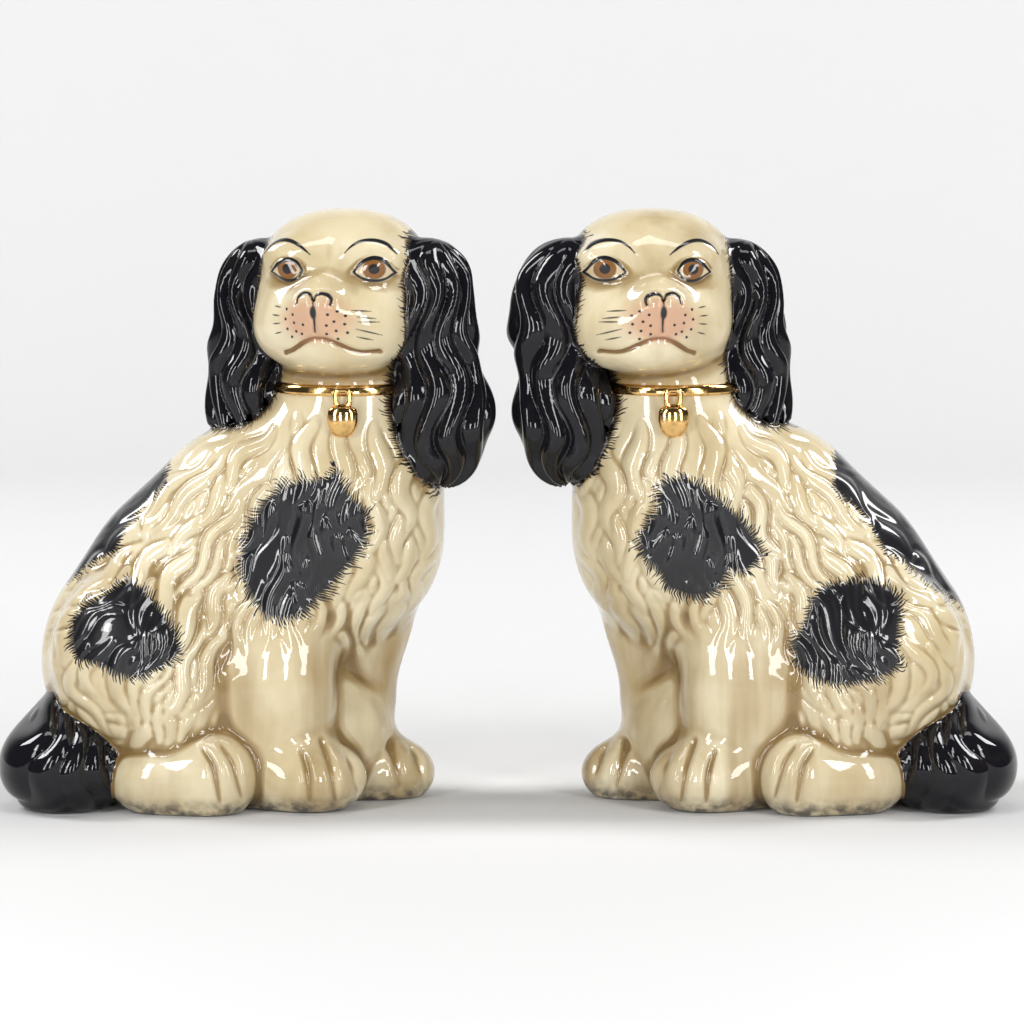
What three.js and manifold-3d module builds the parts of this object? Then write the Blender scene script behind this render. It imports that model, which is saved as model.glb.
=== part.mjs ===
// A mirrored pair of seated spaniel figurines in glazed earthenware, in millimetres, +Z up.
// Each dog is potter's work: hollow pressings and solid trimmings that are luted together with slip,
// so every pressing is its own closed solid and a thin luting gap separates it from its neighbours.
// The dogs face -Y. Both come from the same moulds, the right one mirrored, and each has its own head.
// The origin is under the middle of the pair, on the shelf that both dogs stand on.
import * as THREE from "three";
import { mergeVertices } from "three/addons/utils/BufferGeometryUtils.js";
import Module from "manifold-3d";

const wasm = await Module();
wasm.setup();

// ---------------------------------------------------------------- driving dimensions

const figure = { length: 256, depth: 137, height: 305 }; // overall size of one dog
const pairGap = 10; // free space between the ears of the two dogs
const wall = 4; // thickness of the pressed clay
const lutingGap = 0.35; // left between two pressings
const baseThickness = 5; // slab that closes the body from below
const ventRadius = 6; // hole in the slab that lets the kiln's steam out
const neckOpening = 240; // height at which the neck of the body is cut open

// Per dog: the centre of the skull, its turn in degrees, how far to the viewer's right the face sits on
// it, and how far out each ear hangs at its middle and at its end.
const heads = {
  left: { x: 46, y: -8, z: 263, turn: 14, face: -0.5, overBack: [48, 50], overChest: [46, 51] },
  right: { x: 56, y: -8, z: 263, turn: 9.5, face: 4.5, overBack: [48, 50], overChest: [50, 44] },
};
const neck = { x: 46, y: -3, z: 192, radius: 35, halfHeight: 74 };
const collar = { z: 214.5, bandHeight: 6, stand: 1.8 };
const padlock = { z: 200, halfWidth: 8, halfHeight: 8.5, halfDepth: 5, sink: 1.6 };
const shackle = { radius: 4, wire: 1.3, rise: 1.4 };

const thickness = { foreleg: 24, thigh: 34, hindPaw: 21, tail: 36 }; // half sizes across the dog
const earLength = { overBack: 33, overChest: 36 }; // half height of the lowest mass of each ear

const ringSides = 24; // facets round the padlock and the vent
const tinyStep = 1e-3; // closeness of a found surface point

// ---------------------------------------------------------------- smooth forms

// The dog is modelled at this size, and the three overall sizes stretch its forms from there.
const modelled = { length: 246.5, depth: 137, height: 305 };
const stretch = new THREE.Vector3(
  figure.length / modelled.length,
  figure.depth / modelled.depth,
  figure.height / modelled.height,
);

// A rounded mass: an ellipsoid by its centre and half sizes, tilted about the Y axis in degrees.
function mass(at, half, tilt = 0) {
  const turn = new THREE.Quaternion().setFromAxisAngle(
    new THREE.Vector3(0, 1, 0),
    THREE.MathUtils.degToRad(tilt),
  );
  return { centre: new THREE.Vector3(...at), half: new THREE.Vector3(...half), turn };
}

// A mass of a head, by its place to the viewer's right, forwards and upwards from the skull's centre.
function headMass(place, [right, forwards, up], [halfWidth, halfDepth, halfHeight]) {
  const turn = new THREE.Quaternion().setFromAxisAngle(
    new THREE.Vector3(0, 0, 1),
    THREE.MathUtils.degToRad(180 - place.turn),
  );
  const centre = new THREE.Vector3(-right, forwards, up).applyQuaternion(turn);
  centre.add(new THREE.Vector3(place.x, place.y, place.z));
  return { centre, half: new THREE.Vector3(halfWidth, halfDepth, halfHeight), turn };
}

// About the signed distance from a point to one ellipsoid, exact on its surface.
function massDistance(point, { centre, half, turn }) {
  const local = point.clone().sub(centre).applyQuaternion(turn.clone().invert());
  const scaled = local.clone().divide(half);
  const near = scaled.length();
  const slope = scaled.divide(half).length();
  return slope < 1e-9 ? -Math.min(half.x, half.y, half.z) : (near * (near - 1)) / slope;
}

// The distance to all masses of a form, where neighbours flow into each other over the blend length.
function formDistance(point, form) {
  const unstretched = point.clone().divide(stretch);
  return form.masses.reduce((nearest, each) => {
    const next = massDistance(unstretched, each);
    const overlap = Math.max(form.blend - Math.abs(nearest - next), 0) / form.blend;
    return Math.min(nearest, next) - (overlap * overlap * form.blend) / 4;
  }, 1e3);
}

// Where a ray from inside the form leaves it for good, at a level above (or below) its surface.
function surfacePoint(form, from, direction, level = 0) {
  let outside = 2 * figure.height;
  let inside = outside;
  const coarse = 1.5;
  const at = (reach) => from.clone().addScaledVector(direction, reach);
  while (inside > 0 && formDistance(at(inside), form) > level) {
    outside = inside;
    inside -= coarse;
  }
  if (inside <= 0) throw new Error("the ray starts outside the form");
  while (outside - inside > tinyStep) {
    const middle = (outside + inside) / 2;
    if (formDistance(at(middle), form) > level) outside = middle;
    else inside = middle;
  }
  return at(inside);
}

// ---------------------------------------------------------------- solids

// A closed three.js geometry as a solid that can be cut and joined.
function solidOf(geometry) {
  const bare = geometry.index ? geometry.toNonIndexed() : geometry.clone();
  bare.deleteAttribute("normal");
  bare.deleteAttribute("uv");
  const merged = mergeVertices(bare, tinyStep);
  return new wasm.Manifold(
    new wasm.Mesh({
      numProp: 3,
      vertProperties: new Float32Array(merged.attributes.position.array),
      triVerts: new Uint32Array(merged.index.array),
    }),
  );
}

// The skin of a form: a sphere of facets whose corners are pushed out from the core onto the surface.
function skin(form, level = 0, detail = form.detail) {
  const geometry = new THREE.IcosahedronGeometry(1, detail);
  const core = new THREE.Vector3(...form.core).multiply(stretch);
  const spread = new THREE.Vector3(...form.spread);
  const position = geometry.attributes.position;
  for (let i = 0; i < position.count; i += 1) {
    const direction = new THREE.Vector3().fromBufferAttribute(position, i);
    direction.multiply(spread).normalize();
    const point = surfacePoint(form, core, direction, level);
    position.setXYZ(i, point.x, point.y, point.z);
  }
  return solidOf(geometry);
}

// A horizontal slice of space between two heights, wider than the dog.
function slice(bottom, top) {
  const side = 4 * Math.max(figure.length, figure.height);
  const box = new THREE.BoxGeometry(side, side, top - bottom);
  return solidOf(box.translate(0, 0, (bottom + top) / 2));
}

const aboveShelf = slice(0, 2 * figure.height);

// What is left of a solid when its neighbours, each already grown by the luting gap, are taken away.
function fitted(solid, neighbours) {
  return neighbours.reduce((rest, neighbour) => rest.subtract(neighbour), solid);
}

// A form pressed as a hollow shell: its skin less a cavity one wall inside it and above the shelf.
function hollow(form, sole = wall) {
  const cavity = skin(form, -wall, form.cavityDetail).intersect(slice(sole, 2 * figure.height));
  return skin(form).subtract(cavity);
}

// ---------------------------------------------------------------- the forms of the dog

const body = {
  core: [-5, 0, 95],
  spread: [1, 0.75, 1.25],
  blend: 20,
  detail: 6,
  cavityDetail: 3,
  masses: [
    mass([-34, 0, 72], [72, 52, 70]), // rump
    mass([-8, 0, 32], [76, 46, 56]), // belly, down to the slab
    mass([-12, 0, 118], [65, 46, 50], 14), // back
    mass([42, -2, 138], [53, 50, 58]), // chest
    mass([34, -2, 170], [56, 45, 35]), // shoulders
    mass([-12, 0, 151], [34, 38, 38]), // withers
    mass([neck.x, neck.y, neck.z], [neck.radius, neck.radius, neck.halfHeight]),
  ],
};

function headForm(place) {
  const { face } = place;
  return {
    core: [place.x, place.y - 6, place.z - 4],
    spread: [1, 1.1, 1],
    blend: 11,
    detail: 6,
    cavityDetail: 2,
    masses: [
      headMass(place, [0, -2, 6], [41, 38, 36]), // skull
      headMass(place, [-13, -2, 15], [26, 28, 22]), // crown, broad and rather flat
      headMass(place, [13, -2, 15], [26, 28, 22]),
      headMass(place, [0, -12, -24], [33, 26, 22]), // nape
      headMass(place, [face - 1, 14, -5], [36, 26, 30]), // face
      headMass(place, [face - 19, 16, -18], [21, 22, 19]), // cheeks
      headMass(place, [face + 17, 16, -18], [21, 22, 19]),
      headMass(place, [face, 30, -12], [24, 21, 17]), // muzzle
      headMass(place, [face, 45, -2], [10, 9, 8]), // nose
      headMass(place, [face, 24, -28], [21, 19, 10]), // chin
      headMass(place, [face - 18, 26, 19], [14, 10, 8]), // brows
      headMass(place, [face + 22, 23, 19], [14, 10, 8]),
    ],
  };
}

// A long ear from three masses: the root on the skull, the middle, and the heavy curled end.
function earForm(place, root, middle, end) {
  const masses = [root, middle, end].map(([at, half]) => headMass(place, at, half));
  return {
    core: masses[1].centre.clone().lerp(masses[2].centre, 0.35).toArray(),
    spread: [0.55, 0.6, 1.6],
    blend: 12,
    detail: 3,
    cavityDetail: 1,
    masses,
  };
}
function earOverBack(place) {
  const [middle, end] = place.overBack;
  return earForm(
    place,
    [[-40, 0, 13], [18, 17, 14]],
    [[-middle, -1, -17], [19, 20, 34]],
    [[-end, 0, -86 + earLength.overBack], [20, 22, earLength.overBack]],
  );
}
function earOverChest(place) {
  const [middle, end] = place.overChest;
  return earForm(
    place,
    [[40, 0, 14], [18, 17, 14]],
    [[middle, 2, -14], [21, 20, 35]],
    [[end, 4, -97 + earLength.overChest], [24, 23, earLength.overChest]],
  );
}

const nearForeleg = {
  core: [18, -32, 40],
  spread: [0.8, 0.7, 1.5],
  blend: 12,
  detail: 4,
  cavityDetail: 2,
  masses: [
    mass([15, -24, 108], [33, thickness.foreleg, 48]), // shoulder
    mass([10, -33, 58], [31, thickness.foreleg, 62]), // shaft
    mass([29, -38, 16], [28, thickness.foreleg + 1, 20]), // paw
  ],
};
const farForeleg = {
  core: [56, 12, 40],
  spread: [0.8, 0.7, 1.5],
  blend: 12,
  detail: 4,
  cavityDetail: 2,
  masses: [
    mass([48, 8, 104], [33, thickness.foreleg + 2, 46]), // shoulder
    mass([48, 12, 60], [23, thickness.foreleg, 60]), // shaft
    mass([61, 4, 12], [29, thickness.foreleg, 20]), // paw
  ],
};

// The hind leg on one side: -1 is the side towards the viewer and 1 the far side.
function haunch(side) {
  return {
    core: [-52, side * 32, 70],
    spread: [0.9, 0.75, 1],
    blend: 16,
    detail: 3,
    cavityDetail: 1,
    masses: [
      mass([-56, side * 31, 76], [43, thickness.thigh, 49]), // thigh
      mass([-38, side * 34, 44], [28, thickness.thigh - 6, 42]), // knee, down to the shelf
    ],
  };
}
function hindPaw(side) {
  return {
    core: [-28, side * 46, 16],
    spread: [1.3, 0.8, 0.8],
    blend: 10,
    detail: 3,
    cavityDetail: 1,
    masses: [
      mass([-36, side * 47, 17], [34, thickness.hindPaw, 22]), // foot
      mass([-18, side * 50, 19], [22, thickness.hindPaw, 23]), // toes
    ],
  };
}

const tail = {
  core: [-92, -22, 22],
  spread: [1, 1.1, 0.9],
  blend: 16,
  detail: 3,
  cavityDetail: 1,
  masses: [
    mass([-92, -33, 22], [32, thickness.tail, 28]), // brush, curled round the near side
    mass([-95, -14, 43], [13, 20, 14]), // root
  ],
};

// ---------------------------------------------------------------- collar and padlock

// A band that follows the neck all the way round, as a slice of the neck's own skin pushed outwards.
function collarRing(extra = 0) {
  const middle = collar.z * stretch.z;
  const half = collar.bandHeight / 2 + extra;
  return skin(body, collar.stand + extra).intersect(slice(middle - half, middle + half));
}
const collarSeat = collarRing(lutingGap);

// The point of the chest that the padlock lies on.
function padlockSeat() {
  const from = new THREE.Vector3(neck.x, neck.y, padlock.z).multiply(stretch);
  return surfacePoint(body, from, new THREE.Vector3(0, -1, 0));
}

function padlockBody(extra = 0) {
  const geometry = new THREE.SphereGeometry(1, 12, 8).rotateX(Math.PI / 2);
  geometry.scale(padlock.halfWidth + extra, padlock.halfDepth + extra, padlock.halfHeight + extra);
  const seat = padlockSeat();
  return solidOf(geometry.translate(seat.x, seat.y - padlock.halfDepth + padlock.sink, seat.z));
}

function padlockShackle() {
  const geometry = new THREE.TorusGeometry(shackle.radius, shackle.wire, 6, 16);
  geometry.rotateX(Math.PI / 2);
  const seat = padlockSeat();
  const up = seat.z + padlock.halfHeight + shackle.rise;
  return solidOf(geometry.translate(seat.x, seat.y - padlock.halfDepth + padlock.sink, up));
}

// ---------------------------------------------------------------- the pressings of one dog

// The solids of some forms, each grown by the luting gap, to cut their neighbours back from them.
const grow = (some) =>
  Object.fromEntries(Object.entries(some).map(([name, form]) => [name, skin(form, lutingGap)]));

// A form as a hollow pressing, cut back from those of the grown neighbours that are named.
const seated = (form, grown, neighbours) =>
  fitted(hollow(form), neighbours.map((neighbour) => grown[neighbour]));

// The forms of the body in the order in which they are luted on.
const bodyForms = {
  body_shell: body,
  near_haunch: haunch(-1),
  far_haunch: haunch(1),
  near_hind_paw: hindPaw(-1),
  far_hind_paw: hindPaw(1),
  near_foreleg: nearForeleg,
  far_foreleg: farForeleg,
  tail,
};
const seatedOn = {
  near_haunch: ["body_shell"],
  far_haunch: ["body_shell"],
  near_hind_paw: ["body_shell", "near_haunch", "tail"],
  far_hind_paw: ["body_shell", "far_haunch", "tail"],
  near_foreleg: ["body_shell", "near_haunch", "near_hind_paw"],
  far_foreleg: ["body_shell", "far_haunch", "far_hind_paw", "near_foreleg"],
  tail: ["body_shell", "near_haunch", "far_haunch"],
};
const grownBody = grow(bodyForms);
const neckPlug = grownBody.body_shell.intersect(
  slice(-figure.height, neckOpening * stretch.z + lutingGap),
);

const bodyPressings = {
  body_shell: hollow(body, 0).intersect(
    slice(baseThickness + lutingGap, neckOpening * stretch.z),
  ),
};
for (const [name, neighbours] of Object.entries(seatedOn)) {
  bodyPressings[name] = seated(bodyForms[name], grownBody, neighbours);
}

const vent = new THREE.CylinderGeometry(ventRadius, ventRadius, 4 * baseThickness, ringSides);
bodyPressings.base_slab = skin(body)
  .intersect(slice(0, baseThickness))
  .subtract(solidOf(vent.rotateX(Math.PI / 2)));
bodyPressings.padlock = fitted(padlockBody(), [grownBody.body_shell, collarSeat]);
bodyPressings.padlock_shackle = fitted(padlockShackle(), [
  grownBody.body_shell,
  collarSeat,
  padlockBody(lutingGap),
]);

// The head, its ears and the collar under it, for one placing of the head.
function headPressings(place) {
  const headForms = {
    head_shell: headForm(place),
    ear_over_back: earOverBack(place),
    ear_over_chest: earOverChest(place),
  };
  const grown = { ...grow({ head_shell: headForms.head_shell }), ...grownBody };
  const made = {
    head_shell: hollow(headForms.head_shell).subtract(neckPlug),
    collar_band: fitted(collarRing(), [grown.body_shell, grown.head_shell]),
  };
  for (const name of ["ear_over_back", "ear_over_chest"]) {
    made[name] = seated(headForms[name], grown, ["head_shell", "body_shell"]).subtract(collarSeat);
  }
  return made;
}

// ---------------------------------------------------------------- the pair

const glaze = (color, roughness) =>
  new THREE.MeshStandardMaterial({ color, roughness, metalness: 0 });
const creamGlaze = glaze(0xdccfa4, 0.12);
const blackGlaze = glaze(0x0b0b0e, 0.1);
const bareClay = glaze(0xc9b79a, 0.85);
const gilding = new THREE.MeshStandardMaterial({ color: 0xc79a4a, roughness: 0.2, metalness: 1 });
const finishes = {
  ear_over_back: blackGlaze,
  ear_over_chest: blackGlaze,
  tail: blackGlaze,
  base_slab: bareClay,
  collar_band: gilding,
  padlock: gilding,
  padlock_shackle: gilding,
};

// A solid back as a three.js geometry.
function geometryOf(solid) {
  const made = solid.getMesh();
  const geometry = new THREE.BufferGeometry();
  geometry.setAttribute("position", new THREE.BufferAttribute(made.vertProperties, 3));
  geometry.setIndex(new THREE.BufferAttribute(made.triVerts, 1));
  geometry.computeVertexNormals();
  return geometry;
}

// One dog of the pair: side -1 is the dog on the left and 1 the mirrored dog on the right.
function dog(side, name) {
  const pressings = { ...bodyPressings, ...headPressings(heads[name]) };
  const group = new THREE.Group();
  const reach = new THREE.Box3();
  for (const [part, solid] of Object.entries(pressings)) {
    const geometry = geometryOf(solid.intersect(aboveShelf));
    geometry.computeBoundingBox();
    reach.union(geometry.boundingBox);
    const mesh = new THREE.Mesh(geometry, finishes[part] ?? creamGlaze);
    mesh.name = `${name}_${part}`;
    group.add(mesh);
  }
  const middle = (reach.min.y + reach.max.y) / 2;
  group.scale.x = -side;
  group.position.set(side * (pairGap / 2 + reach.max.x), -middle, 0);
  return group;
}

const pair = new THREE.Group();
pair.add(dog(-1, "left"), dog(1, "right"));
const pairReach = new THREE.Box3().setFromObject(pair);
for (const each of pair.children) {
  each.position.x -= (pairReach.min.x + pairReach.max.x) / 2; // the origin is midway along the pair
}
export default pair;
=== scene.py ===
"""A pair of seated spaniel figurines in glazed, hand-painted earthenware.

One dog is sculpted as a smooth form in millimetres, in its own frame: x runs towards its chest, y away from
the viewer and z up. The left dog stands in the scene as it is, and the right dog as its mirror image. The
head has a frame of its own: rightwards for the viewer, forwards and upwards from the middle of the skull.
"""

import math

import bpy
import numpy as np
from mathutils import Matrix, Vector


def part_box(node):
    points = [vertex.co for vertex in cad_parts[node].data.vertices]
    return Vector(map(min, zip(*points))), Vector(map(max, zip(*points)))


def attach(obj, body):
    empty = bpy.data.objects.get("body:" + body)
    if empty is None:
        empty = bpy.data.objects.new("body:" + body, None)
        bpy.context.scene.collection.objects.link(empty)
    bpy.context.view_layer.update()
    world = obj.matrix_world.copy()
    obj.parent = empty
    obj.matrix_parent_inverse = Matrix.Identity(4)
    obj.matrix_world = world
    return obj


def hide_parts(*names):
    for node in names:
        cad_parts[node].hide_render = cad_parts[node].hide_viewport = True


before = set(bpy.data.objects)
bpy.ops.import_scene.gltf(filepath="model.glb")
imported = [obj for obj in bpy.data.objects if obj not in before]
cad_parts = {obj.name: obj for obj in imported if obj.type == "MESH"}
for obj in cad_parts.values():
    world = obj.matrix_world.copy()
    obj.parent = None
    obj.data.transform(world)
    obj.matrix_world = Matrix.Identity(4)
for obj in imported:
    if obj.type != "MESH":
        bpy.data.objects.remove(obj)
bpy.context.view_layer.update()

import openvdb as vdb
from mathutils import Vector

MM = 0.001
SEED = 7

# ---- the forms of one dog

# The modelled masses are stretched by this much along x, as in the solid model.
STRETCH = np.array([256 / 246.5, 1.0, 1.0])
# Per dog: the centre of the skull, its turn in degrees, how far rightwards the face sits on it, how far out
# each ear hangs at its middle and at its end, and which way round the dog stands.
DOGS = {
    "left": {
        "at": (46, -8, 263), "turn": 14, "face": -0.5,
        "over_back": (48, 50), "over_chest": (46, 51), "flip": 1,
    },
    "right": {
        "at": (56, -8, 263), "turn": 9.5, "face": 4.5,
        "over_back": (48, 50), "over_chest": (50, 44), "flip": -1,
    },
}
# Where the middle of the base slab is, along x from the kiln vent at the dog's own origin.
SLAB_MIDDLE = -9.83


def mass(at, half, tilt=0.0):
    """An ellipsoid by its centre and half sizes, tilted about y in degrees."""
    t = math.radians(tilt)
    axes = np.array([[math.cos(t), 0, -math.sin(t)], [0, 1, 0], [math.sin(t), 0, math.cos(t)]])
    return ball(np.array(at, float), half, axes)


def ball(centre, half, axes):
    """An ellipsoid as its centre and the two quadratic forms that its distance is made of."""
    to_local = axes / STRETCH
    squares = np.array(half, float) ** 2
    near_form = to_local.T @ np.diag(1 / squares) @ to_local
    slope_form = to_local.T @ np.diag(1 / squares**2) @ to_local
    return centre * STRETCH, near_form, slope_form, np.array(half, float), axes


def head_axes(dog):
    t = math.radians(dog["turn"])
    return np.array([[math.cos(t), -math.sin(t), 0], [-math.sin(t), -math.cos(t), 0], [0, 0, 1]])


def to_head(dog, points):
    """Points in the dog's frame as places rightwards, forwards and upwards in the head's frame."""
    return (points / STRETCH - np.array(dog["at"], float)) @ head_axes(dog).T


def forms_of(dog):
    """Every pressing of one dog as the blend in mm between its masses, and those masses."""
    axes = head_axes(dog)
    face, back, chest = dog["face"], dog["over_back"], dog["over_chest"]

    def head(at, half):
        return ball(np.array(dog["at"], float) + np.array(at, float) @ axes, half, axes)

    return {
        "body_shell": (20, [
            mass([-34, 0, 72], [72, 52, 70]),
            mass([-8, 0, 32], [76, 46, 56]),
            mass([-12, 0, 118], [65, 46, 50], 14),
            mass([42, -2, 138], [53, 50, 58]),
            mass([34, -2, 170], [56, 45, 35]),
            mass([-12, 0, 151], [34, 38, 38]),
            mass([46, -3, 192], [35, 35, 74]),
        ]),
        "head_shell": (11, [
            head([0, -2, 6], [41, 38, 36]),
            head([-13, -2, 15], [26, 28, 22]),
            head([13, -2, 15], [26, 28, 22]),
            head([0, -12, -24], [33, 26, 22]),
            head([face - 1, 14, -5], [36, 26, 30]),
            head([face - 19, 16, -18], [21, 22, 19]),
            head([face + 17, 16, -18], [21, 22, 19]),
            head([face, 30, -12], [24, 21, 17]),
            head([face, 45, -2], [10, 9, 8]),
            head([face, 24, -28], [21, 19, 10]),
            head([face - 18, 26, 19], [14, 10, 8]),
            head([face + 22, 23, 19], [14, 10, 8]),
        ]),
        "near_haunch": (16, [mass([-56, -31, 76], [43, 34, 49]), mass([-38, -34, 44], [28, 28, 42])]),
        "far_haunch": (16, [mass([-56, 31, 76], [43, 34, 49]), mass([-38, 34, 44], [28, 28, 42])]),
        "near_hind_paw": (10, [mass([-36, -47, 17], [34, 21, 22]), mass([-18, -50, 19], [22, 21, 23])]),
        "far_hind_paw": (10, [mass([-36, 47, 17], [34, 21, 22]), mass([-18, 50, 19], [22, 21, 23])]),
        "near_foreleg": (12, [
            mass([15, -24, 108], [33, 24, 48]),
            mass([10, -33, 58], [31, 24, 62]),
            mass([29, -38, 16], [28, 25, 20]),
        ]),
        "far_foreleg": (12, [
            mass([48, 8, 104], [33, 26, 46]),
            mass([48, 12, 60], [23, 24, 60]),
            mass([61, 4, 12], [29, 24, 20]),
        ]),
        "tail": (16, [mass([-92, -33, 22], [32, 36, 28]), mass([-95, -14, 43], [13, 20, 14])]),
        "ear_over_back": (12, [
            head([-40, 0, 13], [18, 17, 14]),
            head([-back[0], -1, -17], [19, 20, 34]),
            head([-back[1], 0, -53], [20, 22, 33]),
        ]),
        "ear_over_chest": (12, [
            head([40, 0, 14], [18, 17, 14]),
            head([chest[0], 2, -14], [21, 20, 35]),
            head([chest[1], 4, -61], [24, 23, 36]),
        ]),
    }


# How far, in mm, each form flows into those before it where the slip between them was smoothed.
FLOW = {
    "near_haunch": 7, "far_haunch": 7, "near_foreleg": 6, "far_foreleg": 6, "near_hind_paw": 4,
    "far_hind_paw": 4, "head_shell": 7, "tail": 3, "ear_over_back": 3, "ear_over_chest": 3,
}
PARTS = ["body_shell", *FLOW]
BASE_THICKNESS = 5.0
VENT_RADIUS = 6.0
VENT_DEPTH = 12.0
FOOT_ROUNDING = 1.5

VOXEL = 0.8
LOW = np.array([-134.0, -78.0, -4.0])
HIGH = np.array([138.0, 78.0, 312.0])
FORM_MARGIN = 12.0


def smooth_min(a, b, reach):
    """The lesser of two distances, with the corner between them rounded over a reach in mm."""
    overlap = np.maximum(reach - np.abs(a - b), 0) / reach
    return np.minimum(a, b) - overlap * overlap * (reach / 4)


def smoothstep(low, high, value):
    t = np.clip((value - low) / (high - low), 0, 1)
    return t * t * (3 - 2 * t)


def distance_at(form, points):
    """About the signed distance in mm from each point to one form's skin."""
    blend, balls = form
    found = None
    for centre, near_form, slope_form, *_ in balls:
        away = points - centre
        near = np.sqrt(((away @ near_form) * away).sum(1))
        slope = np.sqrt(((away @ slope_form) * away).sum(1))
        each = near * (near - 1) / np.maximum(slope, 1e-6)
        found = each if found is None else smooth_min(found, each, blend)
    return found


def distance_on_grid(form, x, y, z):
    """The same distance on a whole grid of points, given by its three axes."""
    blend, balls = form
    found = None
    for centre, near_form, slope_form, *_ in balls:
        dx, dy, dz = (axis - np.float32(at) for axis, at in zip((x, y, z), centre))

        def squared(q):
            q = q.astype(np.float32)
            flat = q[0, 0] * (dx * dx)[:, None] + q[1, 1] * (dy * dy) + 2 * q[0, 1] * dx[:, None] * dy
            lean = 2 * (q[0, 2] * dx[:, None] + q[1, 2] * dy)
            return flat[:, :, None] + (lean[:, :, None] + q[2, 2] * dz) * dz

        near = np.sqrt(np.maximum(squared(near_form), 0))
        each = near * (near - 1) / np.sqrt(np.maximum(squared(slope_form), 1e-10))
        found = each if found is None else smooth_min(found, each, blend)
    return found


def form_window(form):
    """The part of the grid near one form, as slices."""
    lows, highs = [], []
    for centre, _, _, half, axes in form[1]:
        reach = np.sqrt(((axes.T * half) ** 2).sum(1)) * STRETCH
        lows.append(centre - reach)
        highs.append(centre + reach)
    low = np.maximum((np.min(lows, 0) - FORM_MARGIN - LOW) / VOXEL, 0).astype(int)
    high = ((np.max(highs, 0) + FORM_MARGIN - LOW) / VOXEL).astype(int)
    return tuple(slice(a, b) for a, b in zip(low, high))


def fused_field(forms):
    """The distance to the whole dog on the grid: its forms luted together, on a flat foot with its vent."""
    x, y, z = (np.arange(a, b, VOXEL, dtype=np.float32) for a, b in zip(LOW, HIGH))
    field = distance_on_grid(forms["body_shell"], x, y, z)
    for name, reach in FLOW.items():
        window = form_window(forms[name])
        part = distance_on_grid(forms[name], x[window[0]], y[window[1]], z[window[2]])
        field[window] = smooth_min(field[window], part, reach)
    field = -smooth_min(-field, z, FOOT_ROUNDING)
    vent = np.maximum(np.hypot(x[:, None], y)[:, :, None] - VENT_RADIUS, z - VENT_DEPTH)
    return np.maximum(field, -vent)


def sample(field, places):
    """The values of a flat or a solid grid at places given in its steps, by linear interpolation."""
    base = np.clip(np.floor(places).astype(int), 0, np.array(field.shape) - 2)
    part = places - base
    total = 0
    for corner in np.ndindex((2,) * field.ndim):
        weight = np.prod(np.where(corner, part, 1 - part), axis=1)
        total = total + weight * field[tuple((base + corner).T)]
    return total


def skin_of(field):
    """The surface of the field as points in mm and outward quads."""
    grid = vdb.FloatGrid(background=3.0)
    grid.copyFromArray(np.ascontiguousarray(np.clip(field, -3, 3), dtype=np.float32), tolerance=0)
    places, quads = grid.convertToQuads(isovalue=0)
    places, quads = places.astype(float), quads.astype(int)
    steps = np.eye(3)
    slope = np.stack([sample(field, places + s) - sample(field, places - s) for s in steps], 1) / (2 * VOXEL)
    length = np.maximum(np.linalg.norm(slope, axis=1), 0.2)
    places -= slope * (sample(field, places) / length**2 / VOXEL)[:, None]
    points = LOW + places * VOXEL
    across = np.cross(points[quads[:, 2]] - points[quads[:, 0]], points[quads[:, 3]] - points[quads[:, 1]])
    if (across * slope[quads[:, 0]]).sum() < 0:
        quads = quads[:, ::-1]
    return points, quads


# ---- mesh helpers

def refined(points, faces, chosen):
    """Splits each chosen quad in four. Its unchosen neighbours take up the new corners, so no gap opens."""
    base = len(points)

    def edge_keys(quads):
        ends = np.sort(np.stack([quads, np.roll(quads, -1, 1)], 2).reshape(-1, 2), 1)
        return (ends[:, 0] * base + ends[:, 1]).reshape(-1, 4)

    quads, rest = faces[chosen], faces[~chosen]
    keys, where = np.unique(edge_keys(quads), return_inverse=True)
    ends = np.stack([keys // base, keys % base], 1)
    middle_of = base + where.reshape(-1, 4)
    centre_of = base + len(keys) + np.arange(len(quads))
    points = np.concatenate([points, points[ends].mean(1), points[quads].mean(1)])
    split = [
        np.stack([quads[:, i], middle_of[:, i], centre_of, middle_of[:, i - 1]], 1) for i in range(4)
    ]
    rest_keys = edge_keys(rest)
    place = np.clip(np.searchsorted(keys, rest_keys), 0, len(keys) - 1)
    touched = keys[place] == rest_keys
    border = touched.any(1)
    polygons = []
    for quad, hit, at in zip(rest[border], touched[border], place[border]):
        polygon = []
        for corner in range(4):
            polygon.append(int(quad[corner]))
            if hit[corner]:
                polygon.append(int(base + at[corner]))
        polygons.append(polygon)
    return points, np.concatenate([rest[~border], *split]), polygons


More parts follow.
